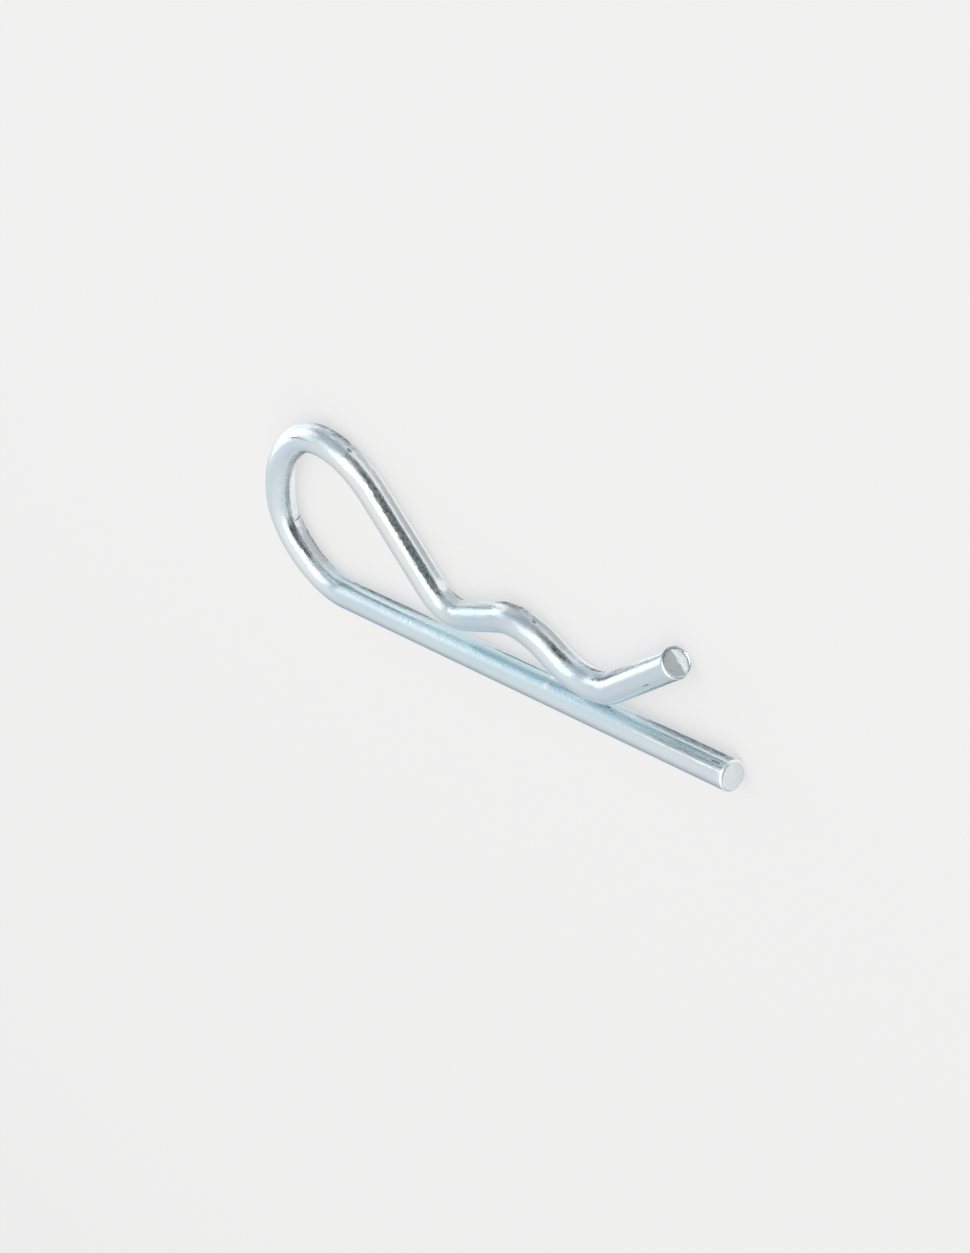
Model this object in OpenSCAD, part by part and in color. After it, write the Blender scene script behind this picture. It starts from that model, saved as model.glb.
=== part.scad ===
// Hitch R clip: one round spring steel wire, bent flat into a straight leg, an open loop and a
// waved arm that springs against the leg. The leg goes through the cross hole of a hitch pin, and
// the arm's hump snaps over the outside of that pin.
//
// It lies flat on the surface at Z = 0. The leg runs along X with its free end towards +X, and the
// arm lies on its +Y side. The origin is on the surface, under the middle of the clip's outer box.
// Every bend is measured to the middle of the wire.

/* [Wire] */
// Diameter of the wire
wire_d = 4; // [3:0.1:5]
// Bevel round the cut end of the leg
leg_bevel = 0.35; // [0.1:0.05:0.8]
// Bevel round the sheared end of the arm
arm_bevel = 0.3; // [0.1:0.05:0.8]

/* [Leg] */
// Length of the straight leg, from its free end to the loop
leg_length = 78; // [70:1:120]

/* [Loop] */
// Radius of the heel, the bend next to the leg
heel_r = 10; // [8:0.5:14]
// Angle that the heel turns through
heel_turn = 112; // [95:1:120]
// Radius of the loop's flatter back
back_r = 24; // [16:1:36]
// Angle that the back turns through
back_turn = 40; // [20:1:50]
// Radius of the crown, the bend that leads into the arm
crown_r = 11; // [8:0.5:14]

/* [Arm] */
// Slope at which the arm comes down from the loop to the leg
arm_slope = 62; // [50:1:70]
// Radius of the inner valley, between the arm's slope and its ramp
inner_valley_r = 5; // [4:0.5:8]
// Gap between the leg and the inner valley, with the clip relaxed
inner_gap = 2.2; // [1:0.1:4]
// Length of the straight ramp from the inner valley up to the hump
ramp_length = 8.8; // [5:0.2:14]
// Height of the hump above the inner valley
hump_height = 3.4; // [2:0.1:6]
// Radius of the hump
hump_r = 10; // [6:0.5:14]
// Length of the straight stretch between the hump and the outer valley
drop_length = 0.5; // [0.2:0.1:4]
// Radius of the outer valley, where the arm comes closest to the leg
outer_valley_r = 10; // [6:0.5:14]
// Gap between the leg and the outer valley, with the clip relaxed
outer_gap = 0.6; // [0.2:0.1:0.9]
// Angle at which the arm's end flares away from the leg
flare_angle = 32; // [20:1:45]
// Length of the straight flared end
flare_length = 16.5; // [8:0.5:24]

/* [Hidden] */
$fn = 64;

left = 1;
right = -1;
quarter = 90;
flat = 180;

wire_r = wire_d / 2;
// How much the ball that fuses two pieces of wire is fatter than the wire
seam_rise = 0.005;

// Headings along the middle of the wire where the heel ends and where the back ends
heel_end = flat - heel_turn;
back_end = heel_end - back_turn;

// Heights of the middle of the wire above the middle of the leg, round the loop and along the arm
heel_top = heel_r * (1 + cos(heel_end));
back_top = heel_top + back_r * (cos(back_end) - cos(heel_end));
loop_top = back_top + crown_r * (1 - cos(back_end));
slope_top = loop_top - crown_r * (1 - cos(arm_slope));
slope_foot = wire_d + inner_gap + inner_valley_r * (1 - cos(arm_slope));
hump_drop = inner_gap + hump_height - outer_gap;

// The slope is as long as it takes for the inner valley to keep its gap from the leg
slope_length = (slope_top - slope_foot) / sin(arm_slope);

// Angle through which two opposite bends of total radius r turn, with a straight between them, to
// move the wire sideways by a height
function step_turn(height, r, straight) =
    acos((r - height) / sqrt(r * r + straight * straight)) - atan2(straight, r);

ramp_turn = step_turn(hump_height, inner_valley_r + hump_r, ramp_length);
drop_turn = step_turn(hump_drop, hump_r + outer_valley_r, drop_length);

// Outer size of the clip as it lies
clip_length = leg_length + heel_r + wire_r;
clip_width = loop_top + wire_d;

// Ball in the end of a piece of wire, in which the next piece starts; its poles lie along the wire
module seam_ball() {
    rotate([0, quarter, 0]) sphere(r = wire_r + seam_rise);
}

// Straight wire from the origin along +X; its child starts at its far end
module straight(length) {
    union() {
        rotate([0, quarter, 0]) cylinder(h = length, r = wire_r);
        translate([length, 0, 0]) seam_ball();
    }
    translate([length, 0, 0]) children();
}

// Bent wire from the origin, heading along +X and turning to one side; its child starts at its end
module bend(radius, turn, side) {
    entry = side == left ? -quarter : quarter - turn;
    translate([0, side * radius, 0]) {
        union() {
            rotate(entry) rotate_extrude(angle = turn) translate([radius, 0]) circle(r = wire_r);
            rotate(side * turn) translate([0, -side * radius, 0]) seam_ball();
        }
        rotate(side * turn) translate([0, -side * radius, 0]) children();
    }
}

// The last piece of wire, with its cut end bevelled
module wire_end(length, bevel) {
    rotate([0, quarter, 0]) {
        cylinder(h = length - bevel, r = wire_r);
        translate([0, 0, length - bevel]) cylinder(h = bevel, r1 = wire_r, r2 = wire_r - bevel);
    }
}

// The straight leg, starting with a ball where the loop joins it
module leg() {
    seam_ball();
    wire_end(leg_length, leg_bevel);
}

// The loop and the waved arm, in the order in which they are bent
module loop_and_arm() {
    bend(heel_r, heel_turn, right)
    bend(back_r, back_turn, right)
    bend(crown_r, back_end + arm_slope, right)
    straight(slope_length)
    bend(inner_valley_r, arm_slope + ramp_turn, left)
    straight(ramp_length)
    bend(hump_r, ramp_turn + drop_turn, right)
    straight(drop_length)
    bend(outer_valley_r, drop_turn + flare_angle, left)
    wire_end(flare_length, arm_bevel);
}

module r_clip() {
    color("lightsteelblue")
    translate([clip_length / 2 - leg_length, wire_r - clip_width / 2, wire_r]) {
        leg();
        rotate(flat) loop_and_arm();
    }
}

r_clip();
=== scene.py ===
from math import acos, atan2, cos, hypot, pi, radians, sin, tan

import bmesh
import bpy
from mathutils import Matrix, Vector, noise


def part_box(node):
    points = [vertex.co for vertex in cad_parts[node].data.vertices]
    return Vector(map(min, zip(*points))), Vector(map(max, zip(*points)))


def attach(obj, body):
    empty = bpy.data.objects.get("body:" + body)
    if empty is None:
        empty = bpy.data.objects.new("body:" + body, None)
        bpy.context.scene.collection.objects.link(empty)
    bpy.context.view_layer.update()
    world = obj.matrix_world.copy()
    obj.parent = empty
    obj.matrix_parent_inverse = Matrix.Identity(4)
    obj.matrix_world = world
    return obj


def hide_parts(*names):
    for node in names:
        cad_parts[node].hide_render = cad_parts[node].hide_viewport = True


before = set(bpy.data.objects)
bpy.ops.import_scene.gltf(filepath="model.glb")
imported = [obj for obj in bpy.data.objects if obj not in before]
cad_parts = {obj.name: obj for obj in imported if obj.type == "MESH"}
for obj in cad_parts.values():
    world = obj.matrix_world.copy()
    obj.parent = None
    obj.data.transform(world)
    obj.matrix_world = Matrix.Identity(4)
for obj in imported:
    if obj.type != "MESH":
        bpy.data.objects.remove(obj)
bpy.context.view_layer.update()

# ---------------------------------------------------------------------------
# The clip. It is one length of hard drawn round steel wire, cut off, bent cold
# round pegs in one plane and then zinc plated. It is drawn on here ring by
# ring, in the order of bending: the leg, the loop, then the waved arm.
# ---------------------------------------------------------------------------
MM = 0.001
WIRE_R = 2.0 * MM
FACES_ROUND = 64
BEND_STEP = 0.3 * MM
STRAIGHT_STEP = 1.0 * MM

LEG_LENGTH, LEG_BEVEL = 78 * MM, 0.35 * MM
HEEL_R, HEEL_TURN = 10 * MM, radians(112)
BACK_R, BACK_TURN = 24 * MM, radians(40)
CROWN_R = 11 * MM
ARM_SLOPE = radians(62)
INNER_VALLEY_R, INNER_GAP = 5 * MM, 2.2 * MM
RAMP_LENGTH = 8.8 * MM
HUMP_R, HUMP_HEIGHT = 10 * MM, 3.4 * MM
DROP_LENGTH = 0.5 * MM
OUTER_VALLEY_R, OUTER_GAP = 10 * MM, 0.6 * MM
FLARE_ANGLE, FLARE_LENGTH, FLARE_BEVEL = radians(32), 16.5 * MM, 0.3 * MM


def step_turn(height, both_radii, straight):
    """Turn of two opposite bends that move the wire sideways by a height."""
    reach = hypot(both_radii, straight)
    return acos((both_radii - height) / reach) - atan2(straight, both_radii)


heel_end = pi - HEEL_TURN
back_end = heel_end - BACK_TURN
loop_top = (HEEL_R * (1 + cos(heel_end)) + BACK_R * (cos(back_end) - cos(heel_end))
            + CROWN_R * (1 - cos(back_end)))
slope_drop = (loop_top - 2 * WIRE_R - INNER_GAP
              - (CROWN_R + INNER_VALLEY_R) * (1 - cos(ARM_SLOPE)))
ramp_turn = step_turn(HUMP_HEIGHT, INNER_VALLEY_R + HUMP_R, RAMP_LENGTH)
drop_turn = step_turn(INNER_GAP + HUMP_HEIGHT - OUTER_GAP, HUMP_R + OUTER_VALLEY_R, DROP_LENGTH)

wire = bmesh.new()
# Where each point of the surface lay on the wire while it was still straight
unbent = wire.verts.layers.float_vector.new("unbent")

clip_low, clip_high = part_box("r_clip")
tip = Vector((clip_high.x, clip_low.y + WIRE_R, clip_low.z + WIRE_R))
leg_start = tip - Vector((LEG_BEVEL, 0, 0))
bmesh.ops.create_circle(wire, segments=FACES_ROUND, radius=WIRE_R)
for v in wire.verts:
    v[unbent] = (LEG_BEVEL, v.co.x, v.co.y)
wire.transform(Matrix.Translation(leg_start) @ Matrix.Rotation(-pi / 2, 4, "Y"))

first_ring = list(wire.edges)
ring, middle, heading, drawn_length = first_ring, leg_start.copy(), Vector((-1, 0, 0)), LEG_BEVEL


def draw_on(length, turn=0):
    """Carries the wire on, straight or bent in its plane: a positive turn goes left."""
    global ring, middle, heading, drawn_length
    steps = max(1, round(length / (BEND_STEP if turn else STRAIGHT_STEP)))
    drawn = len(wire.verts)
    if turn:
        centre = middle + Vector((-heading.y, heading.x, 0)) * (length / turn)
        out = bmesh.ops.spin(wire, geom=ring, cent=centre, axis=(0, 0, 1), angle=turn, steps=steps)
        spun = Matrix.Rotation(turn, 3, "Z")
        middle, heading = centre + spun @ (middle - centre), spun @ heading
    else:
        out = bmesh.ops.spin(wire, geom=ring, cent=middle, axis=(0, 0, 1), angle=0,
                             dvec=heading * (length / steps), steps=steps)
        middle = middle + heading * length
    ring = [e for e in out["geom_last"] if isinstance(e, bmesh.types.BMEdge)]
    wire.verts.ensure_lookup_table()
    for i, v in enumerate(wire.verts[drawn:]):
        v[unbent].x += (i // FACES_ROUND + 1) * length / steps
    drawn_length += length


def draw_bend(radius, turn):
    draw_on(radius * abs(turn), turn)


draw_on(LEG_LENGTH - LEG_BEVEL)
draw_bend(HEEL_R, -HEEL_TURN)
draw_bend(BACK_R, -BACK_TURN)
draw_bend(CROWN_R, -(back_end + ARM_SLOPE))
draw_on(slope_drop / sin(ARM_SLOPE))
draw_bend(INNER_VALLEY_R, ARM_SLOPE + ramp_turn)
draw_on(RAMP_LENGTH)
draw_bend(HUMP_R, -(ramp_turn + drop_turn))
draw_on(DROP_LENGTH)
draw_bend(OUTER_VALLEY_R, drop_turn + FLARE_ANGLE)
draw_on(FLARE_LENGTH - FLARE_BEVEL)

# The two ends: a rounded rim, then the face that the cutter left
RIM_STEPS = 5
FACE_RINGS = (0.975, 0.93, 0.86, 0.77, 0.68, 0.58, 0.48, 0.38, 0.28, 0.18, 0.08)
CROP_HOLLOW, CROP_GRAIN = 0.05 * MM, 0.02 * MM
NIPPED_BACK, RIDGE_DROP = 0.08 * MM, 0.2 * MM
SMOOTH_SLOPE, TORN_SLOPE, TORN_GRAIN = radians(13), radians(9), 0.07 * MM


def cropped_flat(height, side):
    """The leg's end is cropped nearly square, with a slight hollow."""
    hollow = 1 - (height ** 2 + side ** 2) / WIRE_R ** 2
    return -CROP_HOLLOW * hollow + CROP_GRAIN * noise.noise((height / MM, side / MM, 0))


def sheared_roof(height, side):
    """The arm's end is nipped from two sides: a smooth slope, a ridge and a torn slope."""
    up = height + RIDGE_DROP
    if up > 0:
        return -NIPPED_BACK - up * tan(SMOOTH_SLOPE)
    torn = noise.noise((height * 2 / MM, side * 2 / MM, 0.3))
    return -NIPPED_BACK + up * tan(TORN_SLOPE) + TORN_GRAIN * torn


def close_end(ring, middle, outwards, right, along, bevel, relief):
    """Rounds the rim of an end, then closes it with the face of its cut. The relief gives
    how far each place on the face stands out, from its height and its way to the right."""
    quarter = [pi / 2 * (i + 1) / RIM_STEPS for i in range(RIM_STEPS)]
    rings = [(WIRE_R - bevel + bevel * cos(t), bevel * sin(t)) for t in quarter]
    rings += [((WIRE_R - bevel) * k, bevel) for k in FACE_RINGS]
    sign = 1 if along else -1
    for i, (radius, forward) in enumerate(rings):
        out = bmesh.ops.extrude_edge_only(wire, edges=ring)["geom"]
        ring = [e for e in out if isinstance(e, bmesh.types.BMEdge)]
        verts = [v for v in out if isinstance(v, bmesh.types.BMVert)]
        for v in verts:
            height, side = v[unbent].y, v[unbent].z
            scale = radius / hypot(height, side)
            height, side = height * scale, side * scale
            push = forward + (relief(height, side) if i >= RIM_STEPS else 0)
            v.co = middle + outwards * push + Vector((0, 0, height)) + right * side
            v[unbent] = (along + sign * push, height, side)
    summit = middle + outwards * (bevel + relief(0, 0))
    bmesh.ops.pointmerge(wire, verts=verts, merge_co=summit)


close_end(first_ring, leg_start, Vector((1, 0, 0)), Vector((0, 1, 0)), 0, LEG_BEVEL, cropped_flat)
close_end(ring, middle, heading, Vector((heading.y, -heading.x, 0)), drawn_length,
          FLARE_BEVEL, sheared_roof)
bmesh.ops.recalc_face_normals(wire, faces=wire.faces)
wire.normal_update()

# Where the bending pegs and the nippers bore on the wire. Each mark has its place
# along the wire, its angle round it from the left side over the top, its half
# length and half width, and its depth. The last peg, at the heel, left the plating bright.
PEG_MARKS = ((123.1, 12, 3.0, 1.35, 0.05), (150.0, -6, 3.3, 1.3, 0.07),
             (166.6, 9, 2.5, 1.0, 0.05), (179.7, -2, 3.2, 1.1, 0.05),
             (90.0, 206, 5.0, 0.9, 0.03))
NICKS = ((125.65, -6, 0.36, 0.2, 0.06), (168.4, -5, 0.36, 0.16, 0.05),
         (93.5, 202, 0.16, 0.6, 0.06), (21.7, 177, 0.6, 0.14, 0.05),
         (195.1, 112, 0.8, 0.12, 0.04), (147.0, 14, 0.9, 0.12, 0.03),
         (181.8, 28, 0.5, 0.12, 0.03), (1.9, 161, 1.1, 0.1, 0.03))

for arc, angle, length, width, depth in PEG_MARKS + NICKS:
    a = radians(angle)
    for v in wire.verts:
        along, height, side = v[unbent]
        off = ((along - arc * MM) / (length * MM),
               (height * cos(a) + side * sin(a)) / (width * MM),
               (height * sin(a) - side * cos(a) - WIRE_R) / WIRE_R)
        hollow = max(0, 1 - hypot(*off)) if abs(off[0]) < 1 else 0
        v.co -= v.normal * (depth * MM * hollow * hollow * (3 - 2 * hollow))


def corner_number(part):
    """The part's lowest corners in the list of points, as the digits of one number."""
    number = 0
    for index in sorted(v.index for v in part.verts)[:3]:
        number = number * len(wire.verts) + index
    return number


# Bending lists the edges and faces in another order each time, so both are sorted
wire.verts.index_update()
wire.edges.sort(key=corner_number)
wire.faces.sort(key=corner_number)

mesh = bpy.data.meshes.new("r_clip_wire")
wire.to_mesh(mesh)
wire.free()
mesh.shade_smooth()
clip = bpy.data.objects.new("r_clip_wire", mesh)
bpy.context.scene.collection.objects.link(clip)

# Bright zinc plating, passivated: it has a faint blue bloom, and the draw marks
# of the die still show through it along the wire.
plating = bpy.data.materials.new("bright_zinc")
plating.use_nodes = True
tree = plating.node_tree
zinc = tree.nodes["Principled BSDF"]
zinc.inputs["Metallic"].default_value = 1.0


def add(kind, **settings):
    node = tree.nodes.new("ShaderNode" + kind)
    for name, value in settings.items():
        setattr(node, name, value)
    return node


def put(node, **values):
    for name, value in values.items():
        node.inputs[name.replace("_", " ")].default_value = value
    return node


place = add("Attribute", attribute_name="unbent")
split = add("SeparateXYZ")
tree.links.new(place.outputs["Vector"], split.inputs[0])


def stretched(along, across):
    """The wire's own coordinates, scaled along it and across it."""
    node = add("VectorMath", operation="MULTIPLY")
    tree.links.new(place.outputs["Vector"], node.inputs[0])
    node.inputs[1].default_value = (along, across, across)
    return node.outputs[0]


def grain(along, across, detail=2):
    """Noise with so many waves to the metre along the wire and across it."""
    node = put(add("TexNoise"), Scale=1.0, Detail=detail, Roughness=0.5)
    tree.links.new(stretched(along, across), node.inputs["Vector"])
    return node.outputs["Fac"]


def spread(value, low, high, to_low, to_high):
    """The value, stretched from one range to another and held at its ends."""
    node = put(add("MapRange"), From_Min=low, From_Max=high, To_Min=to_low, To_Max=to_high)
    tree.links.new(value, node.inputs["Value"])
    return node.outputs["Result"]


def blend(mask, first, second):
    """The first colour, and the second where the mask is."""
    node = add("Mix", data_type="RGBA")
    tree.links.new(mask, node.inputs[0])
    for socket, value in ((node.inputs[6], first), (node.inputs[7], second)):
        if isinstance(value, tuple):
            socket.default_value = value
        else:
            tree.links.new(value, socket)
    return node.outputs[2]


def bumped(height, depth, normal):
    """The normal, bent further by a height that stands for so much depth."""
    node = put(add("Bump"), Strength=1.0, Distance=depth)
    tree.links.new(height, node.inputs["Height"])
    if normal:
        tree.links.new(normal, node.inputs["Normal"])
    return node.outputs["Normal"]


def mark(arc, angle, length, width, soft):
    """Mask of one mark, with a ragged edge that fades over the soft share of its size."""
    local = add("Mapping", vector_type="TEXTURE")
    tree.links.new(place.outputs["Vector"], local.inputs["Vector"])
    a = radians(angle)
    local.inputs["Location"].default_value = (arc * MM, WIRE_R * sin(a), -WIRE_R * cos(a))
    local.inputs["Rotation"].default_value = (a, 0, 0)
    local.inputs["Scale"].default_value = (length * MM, width * MM, WIRE_R)
    reach = add("VectorMath", operation="LENGTH")
    tree.links.new(local.outputs[0], reach.inputs[0])
    return spread(combined("ADD", reach.outputs["Value"], ragged), 1 - soft, 1 + soft, 1, 0)


def combined(operation, first, second):
    node = add("Math", operation=operation)
    for socket, value in zip(node.inputs, (first, second)):
        if isinstance(value, (int, float)):
            socket.default_value = value
        else:
            tree.links.new(value, socket)
    return node.outputs[0]


def tinted(colour, mask, tint):
    """The colour, multiplied by a tint where the mask is."""
    node = add("Mix", data_type="RGBA", blend_type="MULTIPLY")
    tree.links.new(mask, node.inputs[0])
    tree.links.new(colour, node.inputs[6])
    node.inputs[7].default_value = (*tint, 1)
    return node.outputs[2]


def all_of(marks, soft):
    """Mask of several marks together."""
    joined = mark(*marks[0][:4], soft)
    for m in marks[1:]:
        joined = combined("MAXIMUM", joined, mark(*m[:4], soft))
    return joined


ragged = spread(grain(1300, 2300), 0.25, 0.75, -0.3, 0.3)
die_lines = grain(350, 9000, detail=3)
pebbles = grain(2200, 3600)
swell = grain(420, 700, detail=1)
pegged = all_of(PEG_MARKS[:-1], 0.45)
nicked = all_of(NICKS, 0.15)

# The marks painted on the plating, most of them painted light and shade. Each mark has its place
# along the wire, its angle round it, and its half length and half width. First the painted dark
# reflections: dark streaks painted where the metal reflects dark surroundings and shade.
PAINTED_DARK_REFLECTIONS = ((7.8, 150, 7.8, 0.3), (9.4, 171, 6, 0.1), (8, 203, 8.2, 0.72), (40, 206, 6, 0.3),
        (66, 164, 7, 0.1), (68, 208, 9.5, 0.6), (158, 22, 2.4, 0.05), (117.5, 62, 2.6, 0.08),
        (92, 160, 2.4, 0.4), (88.3, 166, 2.4, 0.15), (201.05, 10, 0.3, 1.9))
FAINT_PAINTED_REFLECTIONS = ((136.5, -23, 10.4, 0.42), (170.8, -22, 4.6, 0.45), (163.6, -24, 1.8, 0.4),
              (186.2, 28, 2.9, 0.17), (173.6, 11, 2.3, 0.4), (88, 206, 5, 0.9))
# Dark reflected bands, painted mottled grey as painted reflections
MOTTLED_REFLECTION_BANDS = ((136.8, 15, 10.4, 0.57), (173.6, 10, 2.5, 0.4), (92, 160, 2.5, 0.44),
           (88.4, 166, 2.4, 0.18), (8, 203, 8.2, 0.72), (68, 208, 9.5, 0.6))
# The leg's middle, painted teal as a painted reflection
TEAL_REFLECTION_ZONE = ((38, 172, 24, 1.0),)
# Patches painted pale, as painted light
PAINTED_LIGHT_PATCHES = ((107, 166, 9, 0.8), (97, 172, 3, 0.16), (20.5, 171, 4.5, 0.22))
# A patch painted white, as a painted highlight
PAINTED_WHITE_PATCH = ((157.6, 9, 5, 0.4),)
# A band painted darker, as painted shade
PAINTED_SHADE_BAND = ((74.5, 149, 10.5, 0.6),)
# Small flats that the pegs pressed, painted white as painted highlights
FACETS = ((146.2, -9, 1.0, 0.5), (92.8, 187, 0.7, 0.36), (94.9, 200, 0.55, 0.8))
# Wrinkles on the inside of the bends, low on the wire; they are also painted darker, as painted
# shade
WRINKLES = ((121.8, -40, 4.4, 0.8), (163.8, -30, 2.6, 0.8), (151, -42, 3, 0.4),
            (180, -22, 3, 0.3), (88.5, 228, 5.5, 0.3))
# Painted highlights: lines, chips and edges painted near white
PAINTED_HIGHLIGHTS = ((3.3, 136, 3, 0.09), (11, 136, 5.5, 0.05), (7.4, 180.5, 7.1, 0.1),
             (11.3, 166, 3.4, 0.05), (18, 184, 2.2, 0.06), (38, 178.5, 3.2, 0.06),
             (68.5, 176, 9.6, 0.07), (33, 154, 0.4, 0.45), (33.1, 190, 0.25, 0.2),
             (136.5, -4, 9.8, 0.09), (146.3, -11, 1.15, 0.75), (119.9, -5, 0.35, 0.2),
             (123, -1, 0.5, 0.13), (187.6, 42, 4.6, 0.12), (201.05, 108, 0.22, 1.4),
             (201.05, -85, 0.22, 1.2), (137.5, -53, 10.5, 0.4), (173.5, -54, 6.5, 0.36),
             (178.4, -38, 2.2, 0.4), (163.2, 15, 1.4, 0.5), (192, 20, 5.4, 0.5),
             (120, 24, 1.3, 0.35))
FAINT_SHARE = 0.55

# Masks of the painted reflections, painted shade, painted light and painted highlights, and of the
# flats and wrinkles
painted_dark_reflection = combined("MULTIPLY", all_of(PAINTED_DARK_REFLECTIONS, 0.35),
                  spread(grain(600, 7000, detail=3), 0.38, 0.58, 0.5, 1))
painted_dark_reflection = combined("MAXIMUM", painted_dark_reflection,
                  combined("MULTIPLY", all_of(FAINT_PAINTED_REFLECTIONS, 0.4), FAINT_SHARE))
painted_mottled_bands = combined("MULTIPLY", all_of(MOTTLED_REFLECTION_BANDS, 0.3),
                   spread(grain(1700, 3000), 0.42, 0.58, 0, 1))
painted_teal_reflection = all_of(TEAL_REFLECTION_ZONE, 1.0)
painted_light_patch = all_of(PAINTED_LIGHT_PATCHES, 1.0)
painted_white_highlights = combined("MAXIMUM", all_of(PAINTED_WHITE_PATCH, 1.0), all_of(FACETS, 0.2))
wrinkles_and_painted_shade = combined("MULTIPLY", all_of(WRINKLES, 0.5),
                    spread(grain(3200, 600, detail=3), 0.35, 0.6, 0.35, 1))
painted_highlight = combined("MULTIPLY", all_of(PAINTED_HIGHLIGHTS, 0.4),
                     spread(grain(900, 5000), 0.3, 0.55, 0.4, 1))

RELIEF = ((swell, 0.03), (pebbles, 0.026), (die_lines, 0.008), (wrinkles_and_painted_shade, 0.03), (nicked, -0.03))
normal = None
for height, depth in RELIEF:
    normal = bumped(height, depth * MM, normal)
tree.links.new(normal, zinc.inputs["Normal"])
tree.links.new(normal, zinc.inputs["Coat Normal"])
put(zinc, Coat_Roughness=0.12, Coat_IOR=1.5)

# The leg's outer side has a duller coat than the rest; so do the painted dark reflections and the
# painted shade on the wrinkles
leg_only = spread(split.outputs["X"], 80 * MM, 84 * MM, 1, 0)
outer_side = spread(split.outputs["Z"], -0.45 * WIRE_R, 0.1 * WIRE_R, 1, 0)
outer_leg = combined("MULTIPLY", leg_only, outer_side)
dull_coat_and_painted_dark = combined("MAXIMUM", combined("MAXIMUM", painted_dark_reflection, wrinkles_and_painted_shade),
                  combined("MULTIPLY", outer_leg, 0.45))
tree.links.new(spread(dull_coat_and_painted_dark, 0, 0.8, 0.7, 0.05), zinc.inputs["Coat Weight"])

# The blue bloom of the passivate, from the leg's end to the arm's end
BLOOM = ((0, (0.665, 0.71, 0.74)), (13, (0.66, 0.71, 0.74)), (20, (0.63, 0.71, 0.76)),
         (78, (0.63, 0.71, 0.76)), (86, (0.655, 0.705, 0.725)), (98, (0.69, 0.76, 0.80)),
         (119, (0.69, 0.76, 0.80)), (128, (0.665, 0.70, 0.705)), (150, (0.65, 0.695, 0.70)),
         (156, (0.57, 0.675, 0.745)), (162, (0.58, 0.665, 0.72)), (168, (0.61, 0.66, 0.69)),
         (178, (0.625, 0.71, 0.76)), (200, (0.63, 0.71, 0.765)))
BLOOM_END = BLOOM[-1][0]

bloom = add("ValToRGB")
stops = bloom.color_ramp.elements
for i, (arc, colour) in enumerate(BLOOM):
    stop = stops[i] if i < 2 else stops.new(arc / BLOOM_END)
    stop.position = arc / BLOOM_END
    stop.color = (*colour, 1)
tree.links.new(spread(split.outputs["X"], 0, BLOOM_END * MM, 0, 1), bloom.inputs["Fac"])
colour = bloom.outputs["Color"]
# The leg's outer side painted darker and bluer, as a painted reflection of shade
colour = tinted(colour, outer_leg, (0.71, 0.765, 0.80))
colour = tinted(colour, spread(grain(70, 260), 0.4, 0.62, 0, 1), (0.93, 0.96, 0.985))
# The leg's underside painted darker and bluer, as painted shade
leg_underside_shade = combined("MULTIPLY", leg_only, spread(split.outputs["Y"], 0, -0.3 * WIRE_R, 0, 1))
colour = tinted(colour, leg_underside_shade, (0.60, 0.74, 0.79))
colour = tinted(colour, pegged, (0.80, 0.84, 0.86))
# Painted dark reflections darken the colour
colour = tinted(colour, painted_dark_reflection, (0.44, 0.42, 0.41))
# Painted mottle in the dark reflected bands
colour = tinted(colour, painted_mottled_bands, (0.5, 0.5, 0.5))
# Painted shade on the wrinkles, low on the wire
colour = tinted(colour, wrinkles_and_painted_shade, (0.4, 0.43, 0.44))
# Painted teal reflection on the leg's middle
colour = blend(painted_teal_reflection, colour, (0.56, 0.76, 0.82, 1))
# Painted shade on a band of the leg
colour = tinted(colour, all_of(PAINTED_SHADE_BAND, 0.8), (0.84, 0.87, 0.88))
# Painted light patches
colour = blend(painted_light_patch, colour, (0.96, 0.98, 0.99, 1))
# Painted highlights
colour = blend(painted_highlight, colour, (0.91, 0.955, 0.975, 1))
# Painted white highlights on the ramp and the flats
colour = blend(painted_white_highlights, colour, (0.97, 0.985, 0.99, 1))
colour = tinted(colour, nicked, (0.34, 0.36, 0.37))

# The two cut faces have no die skin, so the plating on them is paler and rougher
radius = add("VectorMath", operation="LENGTH")
tree.links.new(stretched(0, 1), radius.inputs[0])
face = spread(radius.outputs["Value"], WIRE_R - 0.42 * MM, WIRE_R - 0.32 * MM, 1, 0)
rim = spread(split.outputs["X"], 0.2 * MM, 0.3 * MM, 1, 0)
cut = combined("MAXIMUM", face, rim)
colour = blend(cut, colour, (0.83, 0.87, 0.88, 1))
tree.links.new(colour, zinc.inputs["Base Color"])
# Where the coat is dull and where dark reflections and shade are painted, the edges reflect grey
tree.links.new(blend(dull_coat_and_painted_dark, (1, 1, 1, 1), (0.4, 0.42, 0.43, 1)), zinc.inputs["Specular Tint"])

worn = combined("MULTIPLY", pegged, 0.2)
skin = combined("ADD", spread(pebbles, 0.3, 0.7, 0.12, 0.2), worn)
satin = combined("MAXIMUM", combined("MULTIPLY", cut, 0.42), combined("MULTIPLY", painted_highlight, 0.38))
satin = combined("MAXIMUM", satin, combined("MULTIPLY", painted_teal_reflection, 0.4))
satin = combined("MAXIMUM", satin, combined("MULTIPLY", combined("MAXIMUM", painted_light_patch, painted_white_highlights), 0.42))
# The painted white highlights are also less metallic
tree.links.new(spread(painted_white_highlights, 0, 1, 1, 0.45), zinc.inputs["Metallic"])
tree.links.new(combined("MAXIMUM", skin, satin), zinc.inputs["Roughness"])
mesh.materials.append(plating)

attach(clip, "root")
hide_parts("r_clip")

# ---------------------------------------------------------------------------
# The studio: a pale floor that the clip lies on, six soft boxes, a dark card that
# gives the bright metal its dark lines, and a pale room around them.
# ---------------------------------------------------------------------------
PALE = (0.876, 0.878, 0.88, 1)


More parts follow.
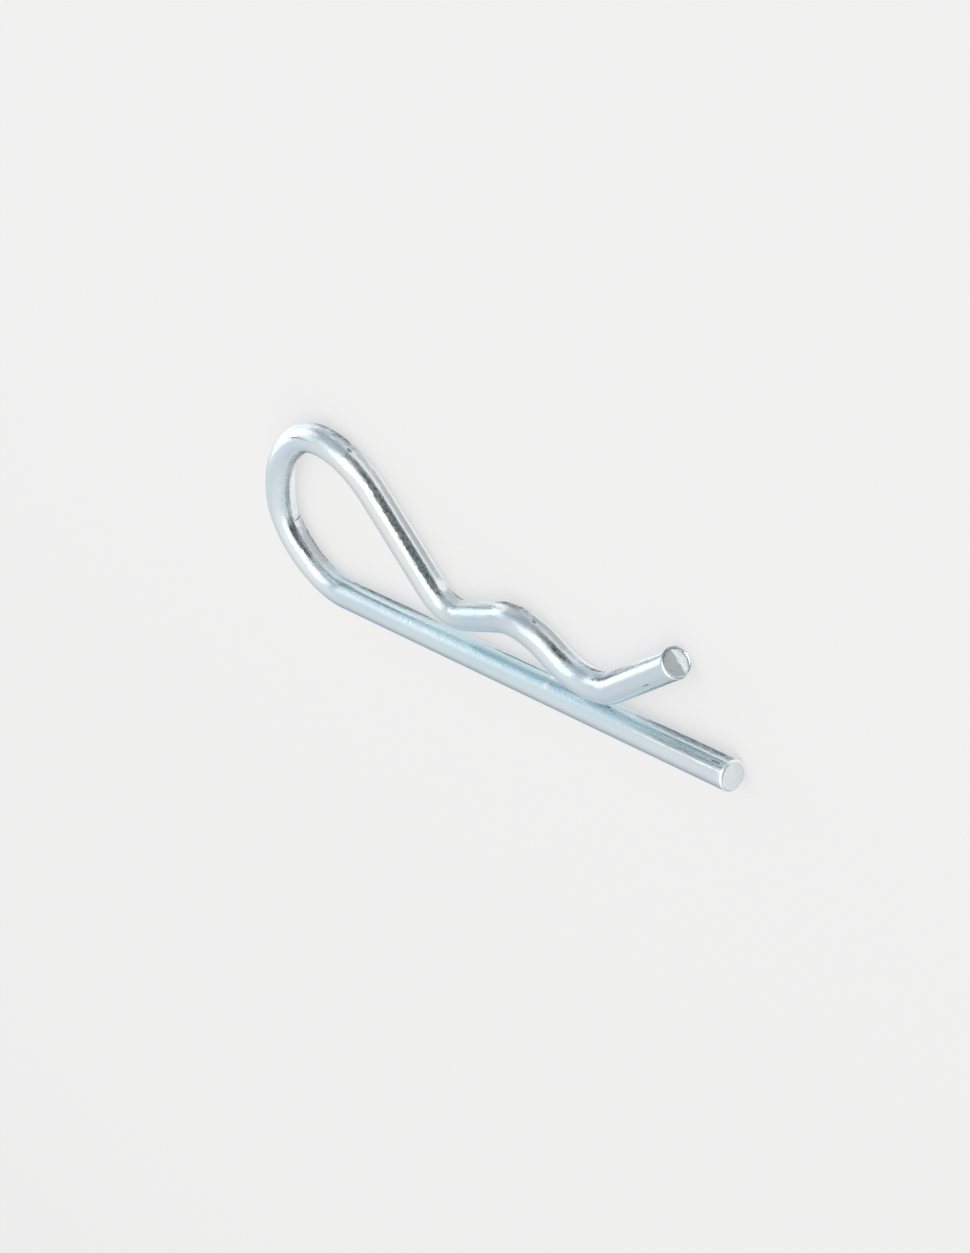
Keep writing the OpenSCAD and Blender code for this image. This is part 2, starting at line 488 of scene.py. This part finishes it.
def towards(azimuth, elevation, distance):
    a, e = radians(azimuth), radians(elevation)
    return Vector((cos(a) * cos(e), sin(a) * cos(e), sin(e))) * distance


floor_mesh = bpy.data.meshes.new("floor")
sheet = bmesh.new()
bmesh.ops.create_grid(sheet, x_segments=1, y_segments=1, size=3)
sheet.to_mesh(floor_mesh)
sheet.free()
floor = bpy.data.objects.new("floor", floor_mesh)
bpy.context.scene.collection.objects.link(floor)
paper = bpy.data.materials.new("paper")
paper.use_nodes = True
tree = paper.node_tree
matt = put(tree.nodes["Principled BSDF"], Roughness=1.0, Specular_IOR_Level=0.0)
matt.inputs["Base Color"].default_value = (0.765, 0.745, 0.74, 1)
glow = add("Emission")
seen = add("LightPath")
tree.links.new(blend(seen.outputs["Is Glossy Ray"], PALE, (1.1, 1.1, 1.1, 1)),
               glow.inputs["Color"])
share = combined("MAXIMUM", combined("MULTIPLY", seen.outputs["Is Camera Ray"], 0.65),
                 combined("MULTIPLY", seen.outputs["Is Glossy Ray"], 0.8))
both = add("MixShader")
tree.links.new(share, both.inputs[0])
tree.links.new(matt.outputs[0], both.inputs[1])
tree.links.new(glow.outputs[0], both.inputs[2])
sheen = put(add("BsdfGlossy"), Roughness=0.15)
slant = put(add("LayerWeight"), Blend=0.5)
skim = spread(slant.outputs["Facing"], 0.45, 0.7, 0, 1)
topped = add("MixShader")
tree.links.new(combined("MULTIPLY", skim, seen.outputs["Is Glossy Ray"]), topped.inputs[0])
tree.links.new(both.outputs[0], topped.inputs[1])
tree.links.new(sheen.outputs[0], topped.inputs[2])
tree.links.new(topped.outputs[0], tree.nodes["Material Output"].inputs["Surface"])
floor_mesh.materials.append(paper)


def softbox(name, azimuth, elevation, width, height, radiance, feather=0.2, distance=0.7):
    """A soft box that faces the clip; its width and height are angles as the clip sees it,
    and it fades in from its edges over the feather, which is a share of them."""
    global tree
    light = bpy.data.lights.new(name, "AREA")
    light.shape = "RECTANGLE"
    light.size = 2 * distance * tan(radians(width / 2))
    light.size_y = 2 * distance * tan(radians(height / 2))
    light.energy = radiance * pi * light.size * light.size_y
    light.use_nodes = True
    tree = light.node_tree
    pane = add("NewGeometry")
    edges = add("SeparateXYZ")
    tree.links.new(pane.outputs["Parametric"], edges.inputs[0])
    fades = [spread(combined("PINGPONG", edges.outputs[i], 0.5), 0, feather, 0, 1)
             for i in (0, 1)]
    for fade in fades:
        fade.node.interpolation_type = "SMOOTHSTEP"
    tree.links.new(combined("MULTIPLY", *fades), tree.nodes["Emission"].inputs["Strength"])
    lamp = bpy.data.objects.new(name, light)
    lamp.location = towards(azimuth, elevation, distance)
    lamp.rotation_euler = lamp.location.to_track_quat("Z", "Y").to_euler()
    lamp.visible_camera = False
    bpy.context.scene.collection.objects.link(lamp)


softbox("right_box", -5, 55, 84, 44, 0.5)
softbox("middle_box", 58, 50, 60, 50, 0.52)
softbox("back_box", 104, 48, 52, 50, 0.52)
softbox("left_box", 169, 4, 64, 50, 0.8, feather=0.25)
softbox("corner_box", 155, 26, 30, 28, 0.35, feather=0.4)
softbox("far_box", -163, 12, 42, 34, 0.14, feather=0.4)

# The card stands in an arc round the open end; its top edge dips towards one side
CARD_AWAY, CARD_FROM, CARD_TO = 0.6, -28, 85
CARD_RISE, DIP_FROM, DIP_OVER, DIP_SHARE = radians(35), radians(25), radians(40), 0.55
card_mesh = bpy.data.meshes.new("card")
sheet = bmesh.new()
low = sheet.verts.new(towards(CARD_FROM, 0, CARD_AWAY) + Vector((0, 0, 0.002)))
high = sheet.verts.new(low.co + Vector((0, 0, CARD_AWAY)))
bmesh.ops.spin(sheet, geom=[sheet.edges.new((low, high))], cent=(0, 0, 0), axis=(0, 0, 1),
               angle=radians(CARD_TO - CARD_FROM), steps=32)
for v in sheet.verts:
    if v.co.z > CARD_AWAY / 2:
        beyond = min(max(atan2(v.co.y, v.co.x) - DIP_FROM, 0), DIP_OVER)
        v.co.z = CARD_AWAY * tan(CARD_RISE - beyond * DIP_SHARE)
sheet.to_mesh(card_mesh)
sheet.free()
card = bpy.data.objects.new("card", card_mesh)
card.visible_camera = False
bpy.context.scene.collection.objects.link(card)
board = bpy.data.materials.new("dark_board")
board.use_nodes = True
tree = board.node_tree
matt = put(tree.nodes["Principled BSDF"], Roughness=1.0, Specular_IOR_Level=0.0)
where = add("SeparateXYZ")
tree.links.new(add("TexCoord").outputs["Object"], where.inputs[0])
turn = combined("ARCTAN2", where.outputs["Y"], where.outputs["X"])
board_colour = blend(spread(turn, radians(48), radians(68), 0, 1),
                     (0.31, 0.345, 0.35, 1), (0.44, 0.47, 0.475, 1))
tree.links.new(board_colour, matt.inputs["Base Color"])
card_mesh.materials.append(board)

world = bpy.data.worlds.new("pale_room")
bpy.context.scene.world = world
world.use_nodes = True
tree = world.node_tree
direction = add("TexCoord")
rise = add("SeparateXYZ")
tree.links.new(direction.outputs["Generated"], rise.inputs[0])
room = blend(spread(rise.outputs["Z"], 0.2, 1.0, 0, 1),
             (0.665, 0.715, 0.75, 1), (1.16, 1.14, 1.11, 1))
seen = add("LightPath")
tree.links.new(blend(seen.outputs["Is Camera Ray"], room, PALE),
               tree.nodes["Background"].inputs["Color"])

# The camera looks down the clip from beyond the open end, rolled to one side
lens = bpy.data.cameras.new("camera")
lens.sensor_fit = "VERTICAL"
lens.sensor_height = 36
lens.lens = 76.94
lens.clip_start = 0.01
camera = bpy.data.objects.new("camera", lens)
camera.location = (0.25295, 0.17317, 0.14714)
camera.rotation_euler = (radians(-50.692), radians(48.051), radians(-23.093))
bpy.context.scene.collection.objects.link(camera)
bpy.context.scene.camera = camera
bpy.context.scene.view_settings.view_transform = "Standard"
